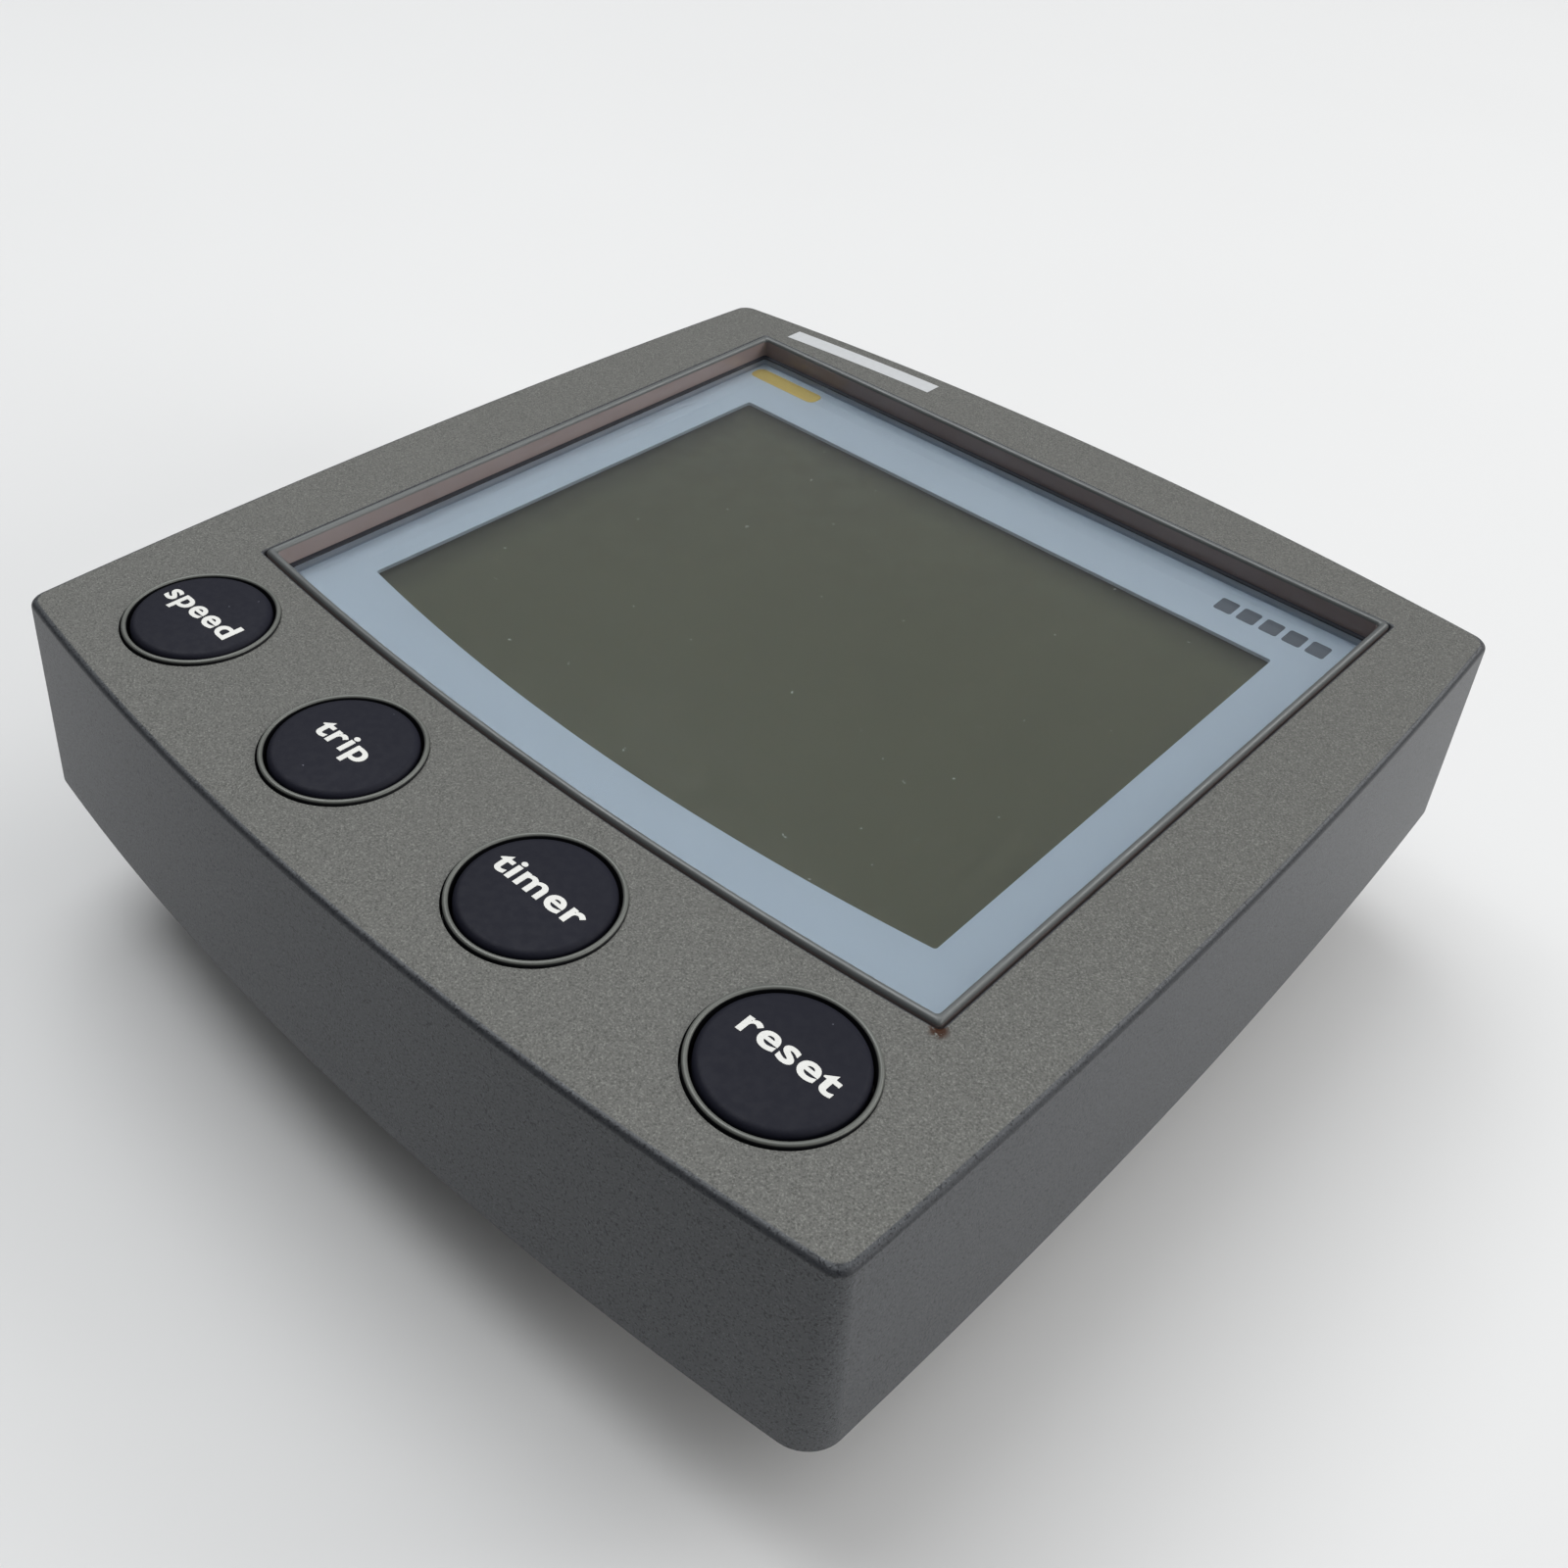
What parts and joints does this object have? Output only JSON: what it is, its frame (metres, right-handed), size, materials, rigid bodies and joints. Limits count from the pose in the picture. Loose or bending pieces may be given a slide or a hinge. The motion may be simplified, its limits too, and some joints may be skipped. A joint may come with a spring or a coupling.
{
  "type": "panel instrument display head",
  "caption": "Square panel instrument display: textured bezel, recessed liquid crystal window, row of round rubber push keys, round rear boss with sockets and blade terminals.",
  "frame": {"origin": "centre of the bounding box's bottom face: under the middle of the rear boss, on the plane its rim stands on", "axes": "+Z out of the display towards the reader, +X to the reader's right, +Y to the top of the display"},
  "size_m": [0.111, 0.115, 0.04],
  "materials": {
    "bezel_plastic": "fine sand-textured metallic grey moulding",
    "frame_plastic": "smooth dark grey moulding",
    "window_acrylic": "clear polished acrylic",
    "mask_print": "pale blue-grey print",
    "display_glass": "unlit liquid crystal cell, dark olive",
    "sheet_white": "white film",
    "key_rubber": "matte silicone rubber",
    "contact_carbon": "carbon-loaded rubber",
    "seal_rubber": "black seal rubber and foam",
    "case_plastic": "black moulded case plastic",
    "board_green": "solder-masked board",
    "component_black": "moulded component bodies",
    "plated_metal": "plated steel",
    "brass": "turned brass"
  },
  "bodies": {
    "housing": {"backlight_led_left": "sheet_white", "backlight_led_right": "sheet_white", "bezel": "bezel_plastic", "blade_terminal_1": "plated_metal", "blade_terminal_2": "plated_metal", "blade_terminal_3": "plated_metal", "blade_terminal_4": "plated_metal", "blade_terminal_5": "plated_metal", "board_link": "component_black", "buzzer": "component_black", "capacitor_left": "plated_metal", "capacitor_right": "plated_metal", "case_screw_lower_left": "plated_metal", "case_screw_lower_right": "plated_metal", "case_screw_upper_left": "plated_metal", "case_screw_upper_right": "plated_metal", "case_seal": "seal_rubber", "contact_strip_lower": "seal_rubber", "contact_strip_upper": "seal_rubber", "crystal": "plated_metal", "diffuser_sheet": "sheet_white", "display_mask": "mask_print", "driver_chip": "component_black", "front_case": "frame_plastic", "keypad_web": "key_rubber", "lcd_front_glass": "display_glass", "lcd_rear_glass": "display_glass", "light_guide": "window_acrylic", "main_board": "board_green", "network_socket_left": "case_plastic", "network_socket_right": "case_plastic", "panel_gasket": "seal_rubber", "processor_chip": "component_black", "rear_case": "case_plastic", "reflector_sheet": "sheet_white", "socket_pin_left_1": "plated_metal", "socket_pin_left_2": "plated_metal", "socket_pin_left_3": "plated_metal", "socket_pin_right_1": "plated_metal", "socket_pin_right_2": "plated_metal", "socket_pin_right_3": "plated_metal", "stud_insert_lower_right": "brass", "stud_insert_upper_left": "brass", "switch_dome_reset": "plated_metal", "switch_dome_speed": "plated_metal", "switch_dome_timer": "plated_metal", "switch_dome_trip": "plated_metal", "terminal_board": "board_green", "window_lens": "window_acrylic"},
    "key_speed": {"key_speed": "key_rubber", "contact_pill_speed": "contact_carbon"},
    "key_trip": {"key_trip": "key_rubber", "contact_pill_trip": "contact_carbon"},
    "key_timer": {"key_timer": "key_rubber", "contact_pill_timer": "contact_carbon"},
    "key_reset": {"key_reset": "key_rubber", "contact_pill_reset": "contact_carbon"}
  },
  "joints": [
    {"name": "speed_key_press", "type": "slide", "parent": "housing", "child": "key_speed", "axis": [0, 0, -1], "range_m": [0, 0.0012], "stiffness_N_per_m": 800, "springref_m": -0.0003},
    {"name": "trip_key_press", "type": "slide", "parent": "housing", "child": "key_trip", "axis": [0, 0, -1], "range_m": [0, 0.0012], "stiffness_N_per_m": 800, "springref_m": -0.0003},
    {"name": "timer_key_press", "type": "slide", "parent": "housing", "child": "key_timer", "axis": [0, 0, -1], "range_m": [0, 0.0012], "stiffness_N_per_m": 800, "springref_m": -0.0003},
    {"name": "reset_key_press", "type": "slide", "parent": "housing", "child": "key_reset", "axis": [0, 0, -1], "range_m": [0, 0.0012], "stiffness_N_per_m": 800, "springref_m": -0.0003}
  ]
}
